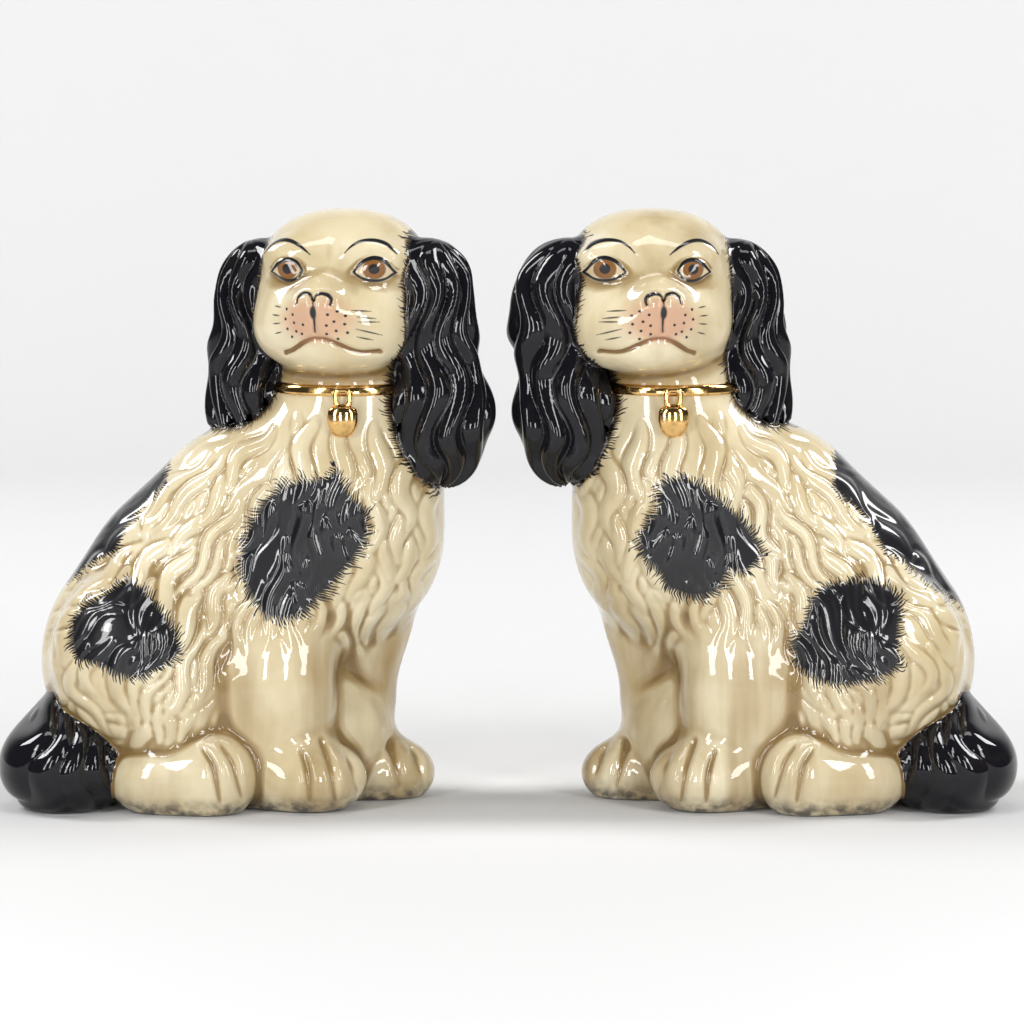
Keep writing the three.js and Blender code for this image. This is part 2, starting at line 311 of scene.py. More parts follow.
class Loops:
    """Faces of any number of corners, as one list of corners and each face's first place in it."""

    def __init__(self, quads, polygons):
        sizes = [4] * len(quads) + [len(p) for p in polygons]
        tail = np.array([corner for polygon in polygons for corner in polygon], int)
        self.corner = np.concatenate([quads.reshape(-1), tail])
        self.size = np.array(sizes)
        self.start = np.concatenate([[0], np.cumsum(self.size)[:-1]])
        after = np.arange(1, len(self.corner) + 1)
        after[self.start + self.size - 1] = self.start
        self.following = self.corner[after]
        self.face = np.repeat(np.arange(len(self.size)), self.size)

    def normals(self, points):
        """The smooth normal at each point."""
        turn = np.cross(points[self.corner], points[self.following])
        face_normal = np.add.reduceat(turn, self.start)
        total = [np.bincount(self.corner, face_normal[self.face, i], len(points)) for i in range(3)]
        total = np.stack(total, 1)
        return total / np.maximum(np.linalg.norm(total, axis=1), 1e-12)[:, None]

    def spread(self, values, times):
        """Values at points, averaged with their neighbours a number of times."""
        count = len(values)
        degree = np.maximum(np.bincount(self.corner, minlength=count), 1)
        for _ in range(times):
            values = (values + np.bincount(self.corner, values[self.following], count) / degree) / 2
        return values

    def hollowness(self, points, normals):
        """How strongly the surface curves inwards at each point, per mm: positive in creases."""
        along = points[self.following] - points[self.corner]
        count = len(points)
        lift = np.bincount(self.corner, (along * normals[self.corner]).sum(1), count)
        lift += np.bincount(self.following, (-along * normals[self.following]).sum(1), count)
        size = np.bincount(self.corner, (along**2).sum(1), count)
        size += np.bincount(self.following, (along**2).sum(1), count)
        return 2 * lift / np.maximum(size, 1e-9)


# ---- drawing on the clay

def curve(points, closed=False, steps=6):
    """A smooth path through the given points."""
    p = np.array(points, float)
    p = np.concatenate([p[-1:], p, p[:2]]) if closed else np.concatenate([p[:1], p, p[-1:]])
    t = np.linspace(0, 1, steps, endpoint=False)[:, None]
    spans = [
        0.5 * (2 * b + (c - a) * t + (2 * a - 5 * b + 4 * c - d) * t**2 + (3 * b - a - 3 * c + d) * t**3)
        for a, b, c, d in zip(p, p[1:], p[2:], p[3:])
    ]
    return np.concatenate([*spans, p[-2:-1]])


def to_path(x, y, path):
    """The distance from each point to a path, and how far along the path its nearest place is."""
    best, along, start = np.full(x.shape, 1e9), np.zeros(x.shape), 0.0
    for (ax, ay), (bx, by) in zip(path, path[1:]):
        dx, dy = bx - ax, by - ay
        length = max(math.hypot(dx, dy), 1e-9)
        t = np.clip(((x - ax) * dx + (y - ay) * dy) / length**2, 0, 1)
        away = np.hypot(x - ax - t * dx, y - ay - t * dy)
        closer = away < best
        best = np.where(closer, away, best)
        along = np.where(closer, start + t * length, along)
        start += length
    return best, along


def outline(x, y, path):
    """The signed distance to a closed path, negative inside it, and the place along it."""
    best, along = to_path(x, y, path)
    inside = np.zeros(x.shape, bool)
    for (ax, ay), (bx, by) in zip(path, path[1:]):
        if ay != by:
            inside ^= ((ay > y) != (by > y)) & (x < (bx - ax) * (y - ay) / (by - ay) + ax)
    return np.where(inside, -best, best), along


class Panel:
    """A relief over x and z in mm, drawn with strokes and pressed into one side of the dog."""

    step = 0.5

    def __init__(self):
        self.low = LOW[[0, 2]]
        size = ((HIGH - LOW)[[0, 2]] / self.step).astype(int) + 2
        self.map = np.zeros(size)

    def stroke(self, path, half_width, height, valley):
        """A raised lock along a path, tapered at both ends, with a valley on either side of it."""
        margin = 2 * half_width
        low = np.maximum(((path.min(0) - margin - self.low) / self.step).astype(int), 0)
        high = np.minimum(((path.max(0) + margin - self.low) / self.step).astype(int), self.map.shape)
        if (high <= low).any():
            return
        x = self.low[0] + np.arange(low[0], high[0])[:, None] * self.step
        z = self.low[1] + np.arange(low[1], high[1])[None, :] * self.step
        away = np.hypot(x[..., None] - path[:, 0], z[..., None] - path[:, 1])
        nearest = away.argmin(-1)
        t = nearest / (len(path) - 1)
        width = half_width * np.maximum(np.sin(np.pi * (0.06 + 0.9 * t)), 0.05) ** 0.6
        q = away.min(-1) / width
        lock = height * np.clip(1 - q * q, 0, 1) - valley * np.exp(-(((q - 1.15) / 0.35) ** 2))
        cover = 1 - smoothstep(1.1, 1.75, q)
        window = self.map[low[0]:high[0], low[1]:high[1]]
        window += cover * (lock * width / half_width - window)

    def at(self, x, z):
        """The relief at points of the dog."""
        places = np.stack([(x - self.low[0]) / self.step, (z - self.low[1]) / self.step], 1)
        return sample(self.map, places)


NAPE = np.array([44.0, 238.0])
THIGH = np.array([-58.0, 72.0])
THIGH_REACH = np.array([44.0, 50.0])


def fur_direction(place):
    """Which way the fur runs at a place on the side of the dog: out from the nape, round the thigh."""
    out = place - NAPE
    out = out / np.linalg.norm(out)
    if place[0] > 20:
        out = out + np.array([(38 - place[0]) * 0.012, 0])
    from_thigh = place - THIGH
    round_thigh = np.array([-from_thigh[1], from_thigh[0]])
    if from_thigh[0] > 0:
        round_thigh = np.array([-0.35, -1.0]) * np.linalg.norm(from_thigh)
    near = 1 - smoothstep(0.8, 1.15, np.linalg.norm(from_thigh / THIGH_REACH))
    out = out * (1 - near) + round_thigh / max(np.linalg.norm(round_thigh), 1e-6) * near
    return math.atan2(out[1], out[0])


def blurred(relief):
    """A relief with its finest ripples taken off."""
    for axis in (0, 1) * 5:
        relief = (np.roll(relief, 1, axis) + 2 * relief + np.roll(relief, -1, axis)) / 4
    return relief


def fur_panel(seed):
    """Wavy locks of fur over the back, the chest and the thigh, the upper ones over the lower ones."""
    panel = Panel()
    random = np.random.default_rng(seed)
    for row, z in enumerate(np.arange(30, 216, 19.0)):
        for x in np.arange(-112, 100, 13.0):
            start = np.array([x + random.uniform(-2, 2) + (row % 2) * 5.5, z + random.uniform(-5, 5)])
            length = int(random.uniform(38, 64))
            phase, swing = random.uniform(0, 6.28), random.uniform(0.3, 0.6)
            half_width, height = random.uniform(3.2, 5.2), random.uniform(0.9, 1.5)
            if start[1] < 85 and start[0] > -22:
                continue
            path = [start]
            for s in range(length):
                heading = fur_direction(path[-1]) + swing * math.sin(s * 0.17 + phase)
                path.append(path[-1] + [math.cos(heading), math.sin(heading)])
            panel.stroke(np.array(path), half_width, height, 0.8)
    panel.map = blurred(panel.map)
    return panel


# Grooves between the toes in x and z: both near paws, and the far forepaw.
TOES = [
    [(26, 34), (30, 22), (31, 5)], [(36, 38), (42, 24), (44, 5)], [(45, 40), (53, 24), (56, 6)],
    [(-24, 36), (-17, 26), (-14, 6)], [(-15, 38), (-7, 28), (-3, 8)],
    [(64, 38), (72, 26), (76, 6)], [(77, 34), (84, 24), (88, 9)],
]


def toe_panel():
    panel = Panel()
    for points in TOES:
        path = curve(points, steps=20)
        panel.stroke(path, 2.8, -2.6, 0.0)
    panel.map = blurred(panel.map)
    return panel


EAR_LOCK = 13.0
EAR_RADIUS = 21.0


def ear_relief(place, centre_right, centre_forwards, inwards):
    """Long waving locks down an ear, deep grooves between them, growing heavier towards the end."""
    right, forwards, up = place.T
    angle = np.arctan2(forwards - centre_forwards, (right - centre_right) * inwards)
    wave = angle * EAR_RADIUS + 4.6 * np.sin(up / 8.0 + 0.9 * angle)
    cell = wave / EAR_LOCK
    ridge = np.abs(np.sin(np.pi * cell))
    beat = 1 + 0.25 * np.sin(up / 5.5 + 2.1 * angle)
    growth = smoothstep(30, 8, up) * (1 + 0.3 * smoothstep(-40, -80, up))
    return growth * (3.9 * ridge * beat - 2.5)


def tail_relief(x, y, z):
    """Locks that fan out from the root of the tail over its brush."""
    side = np.arctan2(x + 84, 78 - z)
    turn = side * 34 + y * 0.18
    out = np.hypot(x + 84, 78 - z)
    wave = turn + 2.6 * np.sin(out / 7.0 + side)
    ridge = np.abs(np.sin(np.pi * wave / 8.5))
    return 2.4 * ridge - 1.6


# ---- the painted face, rightwards and upwards

BROWS = [
    [(-29, 20.7), (-25.5, 25), (-20.7, 27.5), (-15, 27.4), (-9.3, 25), (-4, 21)],
    [(13, 21.9), (16, 25.3), (20.3, 27.7), (26.5, 28), (32.5, 26), (37.4, 21.5)],
]
EYE_TOPS = [
    [(-24.4, 12), (-22, 14.6), (-18.6, 17.6), (-14.5, 18.6), (-10.3, 17), (-7.5, 13)],
    [(18, 12.4), (20.2, 15.6), (23.4, 18.5), (28, 19.8), (32.6, 18), (36.6, 12)],
]
EYE_BOTTOMS = [
    [(-7.5, 13), (-10.5, 9.2), (-15, 7.8), (-19.5, 9), (-24.4, 12)],
    [(36.6, 12), (33, 9), (28, 8), (22.5, 9.3), (18, 12.4)],
]
IRISES = [(-15.4, 13.6), (27.6, 14)]
IRIS_RADIUS = 5.1
PUPIL_RADIUS = 2.6
NOSTRILS = [
    [(-7.6, -2.6), (-6.8, 0.8), (-3.6, 3), (0.4, 2.6), (1.7, -0.2)],
    [(2.8, -0.2), (3.7, 2.1), (6.3, 3), (9.8, 1.9), (11.4, -0.6), (11, -3.1)],
]
PHILTRUM = [(2.2, 0), (2.4, -3), (2.5, -8), (2.5, -12), (2.1, -17.4)]
MOUTH = [(-16, -29), (-12, -27.4), (-9, -25.6), (-4, -22.6), (1.4, -20.8), (7.4, -21.3), (13, -23.7),
         (18, -26.5), (23, -28.1), (29.8, -28)]
WHISKERS = [
    [(19.4, -6.2), (27.4, -7)], [(21.7, -9.5), (29.5, -10.7)], [(22.2, -12), (31, -12.5)],
    [(21.3, -15.6), (32, -19.2)], [(21.4, -19.7), (28.2, -21.6)], [(-21, -5), (-17, -5.4)],
    [(-22, -9.5), (-17.4, -9.6)], [(-21.6, -14), (-17, -13.4)], [(-20.6, -19), (-16.4, -17.8)],
]
MUZZLE_DOTS = [(-13, -6), (-9, -8.5), (-13.5, -11), (-8.4, -12.6), (-12.6, -16), (-7.6, -17), (-3.4, -13.4),
               (-10.4, -20), (-4.6, -18.2), (9.4, -8), (13.6, -6.4), (17, -8.8), (12, -11.6), (16.6, -13),
               (8.4, -13.6), (12.6, -16.4), (17.6, -17.4), (8, -18), (13, -20.6)]
EYE_MIDDLES = [(-16, 13.2), (27.4, 13.8)]
NO_INK = 9.0  # the distance to the brushwork where there is none near
NOSE_LINE = 2.6  # where the drawn features above have the line down the middle of the nose


def face_relief(place):
    """Eye sockets, eyeballs, lids, nostrils and the mouth, modelled under the paint."""
    right, up = place

    def bead(path, height, width):
        return height * np.exp(-((to_path(right, up, curve(path))[0] / width) ** 2))

    lift = np.zeros(len(right))
    for (eye_right, eye_up), top, bottom in zip(EYE_MIDDLES, EYE_TOPS, EYE_BOTTOMS):
        away = ((right - eye_right) / 12) ** 2 + ((up - eye_up) / 9) ** 2
        lift -= 2.0 * np.exp(-away * 1.2)
        lift += 1.9 * np.clip(1 - ((right - eye_right) / 8.6) ** 2 - ((up - eye_up) / 6) ** 2, 0, 1)
        lift += bead(top, 0.7, 1.3)
        lift += bead(bottom, 0.45, 1.2)
    for path in NOSTRILS:
        lift += bead(path, -1.7, 1.2)
    lift += bead(PHILTRUM, -1.2, 1.4)
    lift += bead(MOUTH, -1.5, 1.7)
    for path in BROWS:
        lift += bead(path, 0.35, 2)
    return lift


def tapered(x, y, points, half_width, blunt):
    """The signed distance to a brush stroke that thins out towards both ends."""
    path = curve(points)
    length = np.hypot(*np.diff(path, axis=0).T).sum()
    away, along = to_path(x, y, path)
    return away - half_width * np.maximum(np.sin(np.pi * along / length), blunt**2) ** 0.5


def face_paint(right, up):
    """Signed distances in mm to the brushwork of the face, and how pink the muzzle is."""
    strokes = [(points, 0.85, 0.35) for points in BROWS]
    strokes += [(points, 1.15, 0.6) for points in EYE_TOPS] + [(points, 0.75, 0.8) for points in EYE_BOTTOMS]
    strokes += [(points, 0.95, 0.6) for points in NOSTRILS] + [(points, 0.38, 0.5) for points in WHISKERS]
    strokes += [(PHILTRUM, 0.6, 0.7)]
    ink = np.full(right.shape, NO_INK)
    for points, half_width, blunt in strokes:
        ink = np.minimum(ink, tapered(right, up, points, half_width, blunt))
    ink = np.minimum(ink, np.hypot((right - 2.4) / 1.6, (up + 7.2) / 3.6) - 1)
    for at in MUZZLE_DOTS:
        ink = np.minimum(ink, np.hypot(right - at[0], up - at[1]) - 0.74)
    white = np.full(right.shape, NO_INK)
    for top, bottom in zip(EYE_TOPS, EYE_BOTTOMS):
        around = np.concatenate([curve(top), curve(bottom)[1:]])
        white = np.minimum(white, outline(right, up, around)[0])
    iris = np.full(right.shape, NO_INK)
    for at in IRISES:
        iris = np.minimum(iris, np.hypot(right - at[0], up - at[1]) - IRIS_RADIUS)
    lip = tapered(right, up, MOUTH, 0.45, 0.5)
    cheek = np.hypot((right - 2.5) / 22, (up + 11) / 14)
    blush = 1 - smoothstep(0.45, 1.1, cheek)
    return {"ink": ink, "white": white, "iris": iris, "lip": lip, "blush": blush}


# Black patches in x and z, per dog: the chest, the thigh, and the band down the back past its outline.
PATCHES = {
    "left": {
        "chest": [(36, 171), (45, 175), (51, 164), (60, 154), (59, 138), (48, 123), (36, 110), (25, 101),
                  (11, 100), (1, 111), (-4, 123), (-4, 135), (1, 148), (10, 161), (22, 169)],
        "thigh": [(-60, 119), (-45, 107), (-35, 90), (-37, 80), (-58, 71), (-78, 78), (-88, 80), (-90, 99),
                  (-75, 112)],
        "back": [(-43, 168), (-49, 160), (-56, 152), (-63, 143), (-69, 131), (-82, 124), (-92, 115),
                 (-110, 108), (-140, 130), (-110, 190), (-50, 195)],
    },
    "right": {
        "chest": [(43, 172), (32, 167), (19, 156), (9, 146), (3, 132), (11, 123), (19, 124), (25, 114),
                  (36, 110), (50, 114), (56, 124), (64, 132), (65, 143), (57, 155), (54, 168)],
        "thigh": [(-35, 118), (-55, 119), (-67, 110), (-66, 88), (-64, 75), (-37, 67), (-18, 73),
                  (-13, 84), (-18, 97), (-25, 113)],
        "back": [(-34, 168), (-40, 158), (-50, 149), (-60, 133), (-74, 123), (-87, 112), (-112, 98),
                 (-140, 120), (-110, 190), (-46, 195)],
    },
}
FRINGE = {"chest": 9.0, "thigh": 7.0, "back": 5.0}
PATCH_INSET = 2.0
PATCH_TOP = 205.0
CHEST_PATCH_BACK = 4.0
EAR_END = 25.0  # the radius of the round end of an ear
# The places along each edge start at their own number, so no two edges have the same brush strokes.
PATCH_STRANDS, EAR_STRANDS, TAIL_STRANDS = 300, 500, 3000
NO_PAINT = 30.0


def coat_paint(side, dog, points, part_distance, place):
    """The signed distance to the nearest black patch, the place along its edge, and the fringe's length."""
    x, y, z = points.T
    paint = np.full(len(points), NO_PAINT)
    strand = np.zeros(len(points))
    fringe = np.full(len(points), 6.0)

    def add(away, along, length):
        nonlocal paint, strand, fringe
        closer = away < paint
        paint = np.where(closer, away, paint)
        strand = np.where(closer, along, strand)
        fringe = np.where(closer, length, fringe)

    for index, (name, points_2d) in enumerate(PATCHES[side].items()):
        away, along = outline(x, z, curve(points_2d, closed=True))
        if name == "chest":
            away = np.where(y > CHEST_PATCH_BACK, NO_PAINT, away)
        away = np.where(z > PATCH_TOP, NO_PAINT, away + PATCH_INSET)
        add(away, along + PATCH_STRANDS * index, FRINGE[name])
    on_head = part_distance["head_shell"] < part_distance["body_shell"]
    ends = {"ear_over_back": (-dog["over_back"][1], -53), "ear_over_chest": (dog["over_chest"][1], -61)}
    for index, (name, (end_right, end_up)) in enumerate(ends.items()):
        right, _, up = place.T
        aside, below = right - end_right, end_up - up
        round_end = EAR_END * np.arctan2(aside, below)
        down_side = np.sign(aside) * (EAR_END * math.pi / 2 - below)
        along = np.where(below > 0, round_end, down_side) + EAR_STRANDS * (3 + index)
        add(part_distance[name] - 1.0, along, np.where(on_head, 6.5, 9.0))
    add(part_distance["tail"] - 0.6, x + TAIL_STRANDS, 0.4)
    return {"paint": paint, "strand": strand, "fringe": fringe}


# ---- one dog's clay

# How strongly the cream darkens in the fine creases, where glaze pools and shade is also painted, and in the
# broad hollows, where the darkening is painted shade.
CREASE_GAIN = 3.8
BROAD_SHADE_GAIN = 4.5
# Rounds of averaging with the neighbours for the fine creases and for the broad hollows.
CREASE_SPREAD = 14
BROAD_SPREAD = 80
FACE_WINDOW = (36, 34)  # half width and half height of the finely modelled face, in mm
# Attributes that are amounts from 0 to 1, and all of them. The others are places and distances in mm.
AMOUNTS = ["blush", "pooled_glaze_and_shade", "foot", "leg"]
ATTRIBUTES = ["paint", "strand", "fringe", "ink", "white", "iris", "lip", *AMOUNTS]


def sculpt(side):
    """The skin of one dog in its own frame: points, faces, normals, each face's part, and the paint."""
    dog = DOGS[side]
    forms = forms_of(dog)
    points, quads = skin_of(fused_field(forms))
    centres = to_head(dog, points[quads].mean(1))
    right, forwards, up = centres.T
    face = (forwards > 12) & (abs(right - 3) < FACE_WINDOW[0]) & (abs(up) < FACE_WINDOW[1])
    points, quads, polygons = refined(points, quads, face)
    loops = Loops(quads, polygons)
    normals = loops.normals(points)

    part_distance = {name: distance_at(forms[name], points) for name in PARTS}
    stack = np.stack(list(part_distance.values()))
    place = to_head(dog, points)
    x, y, z = points.T
    on = {name: smoothstep(2.5, -0.5, part_distance[name]) for name in PARTS}
    beside = {name: smoothstep(0.0, 4.0, part_distance[name]) for name in PARTS}

    # Fur on the trunk and the thighs, fading out down the forelegs, up the neck and round the outline.
    clear = beside["ear_over_back"] * beside["ear_over_chest"] * beside["tail"] * beside["head_shell"]
    clear = clear * beside["near_hind_paw"] * beside["far_hind_paw"]
    on_thigh = np.maximum(on["near_haunch"], on["far_haunch"])
    on_leg = np.maximum(on["near_foreleg"], on["far_foreleg"])
    height_of_fur = smoothstep(22, 40, z) * (1 - on_leg * (1 - smoothstep(78, 108, z)))
    height_of_fur = height_of_fur * np.maximum(on_thigh, smoothstep(60, 90, z)) * smoothstep(216, 203, z)
    front = smoothstep(0.12, 0.5, -normals[:, 1])
    behind = smoothstep(0.12, 0.5, normals[:, 1])
    fur = fur_panel(SEED).at(x, z) * front + fur_panel(SEED + 1).at(x, z) * behind
    lift = fur * clear * height_of_fur

    with_toes = [name for name in PARTS if "paw" in name or "foreleg" in name]
    on_paws = smoothstep(3, 0, np.minimum.reduce([part_distance[name] for name in with_toes]))
    lift += toe_panel().at(x, z) * np.maximum(front, behind * (x < 0)) * on_paws

    ear_shape = {
        "ear_over_back": (1 - dog["over_back"][1], 0, -1),
        "ear_over_chest": (dog["over_chest"][1] - 2, 3, 1),
    }
    for name, (centre_right, centre_forwards, inwards) in ear_shape.items():
        lift += on[name] * ear_relief(place, centre_right, centre_forwards, inwards)
    lift += on["tail"] * tail_relief(x, y, z)
    on_face = smoothstep(8, 16, place[:, 1]) * on["head_shell"]
    drawn = place[:, 0] - dog["face"] + NOSE_LINE, place[:, 2]
    lift += face_relief(drawn) * on_face
    lift *= smoothstep(0.5, 4, z)
    points = points + normals * lift[:, None]
    points[:, 2] = np.maximum(points[:, 2], 0)
    normals = loops.normals(points)

    # Darkening for the cream: glaze pooled in the fine creases together with painted shade there, and
    # painted shade in the broad hollows and where two pressings meet in a hollow.
    hollow = np.clip(loops.hollowness(points, normals), -0.2, 0.5)
    creases = loops.spread(hollow, CREASE_SPREAD)
    broad_shade = loops.spread(creases, BROAD_SPREAD)
    first, second = np.partition(stack, 1, axis=0)[:2]
    meeting_shade = np.exp(-(((second - first) / 1.8) ** 2)) * smoothstep(0.01, 0.05, broad_shade)
    pooled_glaze_and_shade = np.clip(creases * CREASE_GAIN + np.maximum(broad_shade, 0) * BROAD_SHADE_GAIN + 0.7 * meeting_shade, 0, 1)
    paint = coat_paint(side, dog, points, part_distance, place)
    nowhere = place[:, 1] < 10
    for name, value in face_paint(*drawn).items():
        paint[name] = np.where(nowhere, 0.0 if name == "blush" else NO_INK, value)
    paint["pooled_glaze_and_shade"] = pooled_glaze_and_shade
    paint["foot"] = np.maximum.reduce([on[name] for name in with_toes]) * smoothstep(12, 2, z)
    paint["leg"] = smoothstep(125, 70, z) * (0.5 + 0.5 * on_leg)

    low = z[loops.corner[loops.start]] < BASE_THICKNESS
    part = stack[:, loops.corner]
    part = np.add.reduceat(part, loops.start, axis=1).argmin(0)
    part = np.where((part == 0) & low, len(PARTS), part)
    return points, loops, normals, part, paint


def placed(side, points):
    """Points in one dog's frame as points in the scene, in metres."""
    flip = DOGS[side]["flip"]
    low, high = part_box(f"{side}_base_slab")
    middle = (low + high) / 2
    origin = middle.x - flip * SLAB_MIDDLE * MM
    return np.stack([origin + flip * points[:, 0] * MM, middle.y + points[:, 1] * MM, points[:, 2] * MM], 1)


def mesh_object(name, points, corners, sizes, material, normals=None, attributes=None):
    mesh = bpy.data.meshes.new(name)
    mesh.vertices.add(len(points))
    mesh.vertices.foreach_set("co", np.asarray(points, np.float32).ravel())
    mesh.loops.add(len(corners))
    mesh.loops.foreach_set("vertex_index", np.asarray(corners, np.int32))
    mesh.polygons.add(len(sizes))
    mesh.polygons.foreach_set("loop_start", np.concatenate([[0], np.cumsum(sizes)[:-1]]).astype(np.int32))
    mesh.update(calc_edges=True)
    for key, values in (attributes or {}).items():
        made = mesh.attributes.new(key, "FLOAT", "POINT")
        made.data.foreach_set("value", np.asarray(values, np.float32))
    mesh.polygons.foreach_set("use_smooth", np.ones(len(sizes), bool))
    mesh.validate()
    if normals is not None:
        mesh.normals_split_custom_set_from_vertices(normals)
    mesh.materials.append(material)
    thing = bpy.data.objects.new(name, mesh)
    bpy.context.scene.collection.objects.link(thing)
    return thing


LID_DEPTH = 0.025


def lids(corners, following, points, normals):
    """Triangles that close each open rim of a piece, one fan to a point inside the clay behind each rim."""
    count = len(points)
    forward = corners * count + following
    rim = ~np.isin(forward, following * count + corners)
    a, b = corners[rim], following[rim]
    group = {int(v): int(v) for v in np.concatenate([a, b])}

    def root(v):
        while group[v] != v:
            group[v] = group[group[v]]
            v = group[v]
        return v

    for i, j in zip(a.tolist(), b.tolist()):
        group[root(i)] = root(j)
    roots = np.array([root(v) for v in a.tolist()], int)
    kinds, which = np.unique(roots, return_inverse=True)
    behind = points - LID_DEPTH * normals
    middles = np.array([behind[a[which == k]].mean(0) for k in range(len(kinds))]).reshape(-1, 3)
    return middles, np.stack([b, a, count + which], 1)


def clay_pieces(side, materials):
    """The skin of one dog cut into its pressings, each closed and riding on its own dog."""
    points, loops, normals, part, paint = sculpt(side)
    flip = DOGS[side]["flip"]
    world = placed(side, points)
    if flip < 0:
        normals = normals * [-1, 1, 1]
    for index, name in enumerate([*PARTS, "base_slab"]):
        chosen = part[loops.face] == index
        corners, following = loops.corner[chosen], loops.following[chosen]
        used, corners = np.unique(corners, return_inverse=True)
        following = np.searchsorted(used, following)
        sizes = loops.size[part == index]
        own = world[used]
        middles, fans = lids(corners, following, own, normals[used])
        corners = np.concatenate([corners, fans.ravel()])
        sizes = np.concatenate([sizes, np.full(len(fans), 3)])
        if flip < 0:
            ends = np.cumsum(sizes)
            starts = ends - sizes
            order = np.repeat(starts + ends - 1, sizes) - np.arange(len(corners))
            corners = corners[order]
        attributes = {}
        for key in ATTRIBUTES:
            plain = 0.0 if key in AMOUNTS else NO_PAINT
            attributes[key] = np.concatenate([paint[key][used], np.full(len(middles), plain)])
        down = np.tile([0.0, 0.0, -1.0], (len(middles), 1))
        node = f"{side}_{name}"
        kind = SLOTS.get(name, "cream_glaze")
        piece = mesh_object(
            f"{node}_skin", np.concatenate([own, middles]), corners, sizes, materials[kind],
            np.concatenate([normals[used], down]), attributes,
        )
        settle(piece, side, node)


def settle(piece, side, node):
    """The piece rides on its dog and stands for one node, which is hidden."""
    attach(piece, f"{side}_dog")
    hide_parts(node)


SLOTS = {
    "tail": "black_glaze",
    "ear_over_back": "black_glaze",
    "ear_over_chest": "black_glaze",
    "base_slab": "bare_clay",
    "collar_band": "gilding",
    "padlock": "gilding",
    "padlock_shackle": "gilding",
}

# ---- collar and padlock

COLLAR_STAND = 1.7
COLLAR_SINK = 2.0
COLLAR_HALF = 2.9
COLLAR_SIDES = 180


def ring(middle, angle, radius, z):
    """Points round a middle line at one height."""
    return np.stack([middle[0] + radius * np.cos(angle), middle[1] + radius * np.sin(angle),
                     np.full(angle.shape, z)], 1)


def neck_radius(form, middle, angle, z):
    """How far the neck's skin is from its middle line, for each angle, at one height."""
    near, far = np.full(angle.shape, 5.0), np.full(angle.shape, 90.0)
    for _ in range(18):
        reach = (near + far) / 2
        outside = distance_at(form, ring(middle, angle, reach, z)) > 0
        far = np.where(outside, reach, far)
        near = np.where(outside, near, reach)
    return near


def collar(side, material):
    """A rounded band round the neck, half sunk in the clay."""
    form = forms_of(DOGS[side])["body_shell"]
    low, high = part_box(f"{side}_collar_band")
    z = (low.z + high.z) / 2 / MM
    middle = np.array([46 * STRETCH[0], -3.0])
    angle = np.linspace(0, 2 * np.pi, COLLAR_SIDES, endpoint=False)
    section = [(-COLLAR_SINK, -0.85), (0, -1), (0.75, -0.8), (1, -0.35), (1, 0.35), (0.75, 0.8), (0, 1),
               (-COLLAR_SINK, 0.85)]
    rings = []
    for out, up in section:
        height = z + up * COLLAR_HALF
        radius = neck_radius(form, middle, angle, height) + out * (COLLAR_STAND if out > 0 else 1)
        rings.append(ring(middle, angle, radius, height))
    quads = tube_quads(len(section), COLLAR_SIDES)
    if DOGS[side]["flip"] < 0:
        quads = quads[:, ::-1]
    gilt_piece(side, "collar_band", placed(side, np.concatenate(rings)), quads, material)


def tube_quads(around, along):
    """The quads of a closed tube, by its places around the section and along the path."""
    i, j = np.meshgrid(np.arange(around), np.arange(along), indexing="ij")
    next_i, next_j = (i + 1) % around, (j + 1) % along
    quads = [i * along + j, i * along + next_j, next_i * along + next_j, next_i * along + j]
    return np.stack(quads, -1).reshape(-1, 4)


def gilt_piece(side, name, points, quads, material):
    node = f"{side}_{name}"
    piece = mesh_object(f"{node}_skin", points, quads.ravel(), np.full(len(quads), 4), material)
    settle(piece, side, node)


PADLOCK_DEPTH = 5.0


def padlock(side, material):
    """A moulded padlock: square in the shoulder, narrower below and dimpled under its shackle."""
    low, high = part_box(f"{side}_padlock")
    middle = (low + high) / 2
    half_width, half_height = (high.x - low.x) / 2, (high.z - low.z) / 2
    turns, rows = 48, 28
    points, quads = [], []
    for row in range(rows + 1):
        v = math.pi * row / rows
        for turn in range(turns):
            u = 2 * math.pi * turn / turns
            wide = min(math.sin(v) ** 0.6 * (1 + 0.14 * math.cos(v)), 1.0)
            tall = math.cos(v) * (1 - 0.2 * math.exp(-((v / 0.45) ** 2)))
            points.append((
                middle.x + half_width * 0.98 * wide * math.cos(u),
                low.y + PADLOCK_DEPTH * MM * (1 + 0.97 * wide * math.sin(u)),
                middle.z + half_height * tall,
            ))
    for row in range(rows):
        for turn in range(turns):
            a, b = row * turns + turn, row * turns + (turn + 1) % turns
            quads.append((a, a + turns, b + turns, b))
    gilt_piece(side, "padlock", points, np.array(quads), material)


SHACKLE_REACH = (3.6, 4.2)
SHACKLE_WIRE = 1.35


def shackle(side, material):
    """A squarish loop of moulded wire between the collar and the padlock."""
    low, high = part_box(f"{side}_padlock_shackle")
    middle = (low + high) / 2
    path, section, points = 48, 12, []
    for s in range(section):
        w = 2 * math.pi * s / section
        for p in range(path):
            u = 2 * math.pi * p / path
            c, d = math.cos(u), math.sin(u)
            out = np.array([math.copysign(abs(c) ** 0.6, c), math.copysign(abs(d) ** 0.6, d)])
            reach = np.array(SHACKLE_REACH) + SHACKLE_WIRE * math.cos(w)
            points.append((
                middle.x + out[0] * reach[0] * MM,
                low.y + SHACKLE_WIRE * MM * (1.1 + math.sin(w)),
                middle.z + out[1] * reach[1] * MM,
            ))
    gilt_piece(side, "padlock_shackle", points, tube_quads(section, path), material)


# ---- glazes

